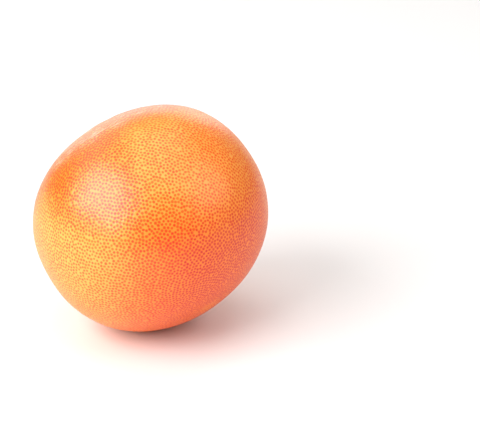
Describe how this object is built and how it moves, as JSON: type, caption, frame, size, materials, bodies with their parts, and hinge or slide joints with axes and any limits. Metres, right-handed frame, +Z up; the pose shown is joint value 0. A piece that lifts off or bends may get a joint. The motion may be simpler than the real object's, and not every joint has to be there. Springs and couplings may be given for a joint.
{
  "type": "grapefruit",
  "caption": "Whole ripe grapefruit, slightly flattened at both ends, lying on its side on a small flat spot.",
  "frame": {"origin": "middle of the small flat spot that the fruit rests on, so the fruit stands on the plane z = 0", "axes": "+Z up from the resting spot; the fruit's own axis leans 49 degrees from +Z, with the stem end up and towards -X and +Y (heading 134.8 degrees from +X about +Z); -Y is the side that the picture shows"},
  "size_m": [0.0997, 0.0998, 0.0976],
  "materials": {
    "rind": "satin",
    "button": "matte"
  },
  "bodies": {
    "root": {"grapefruit": "rind"}
  },
  "joints": []
}
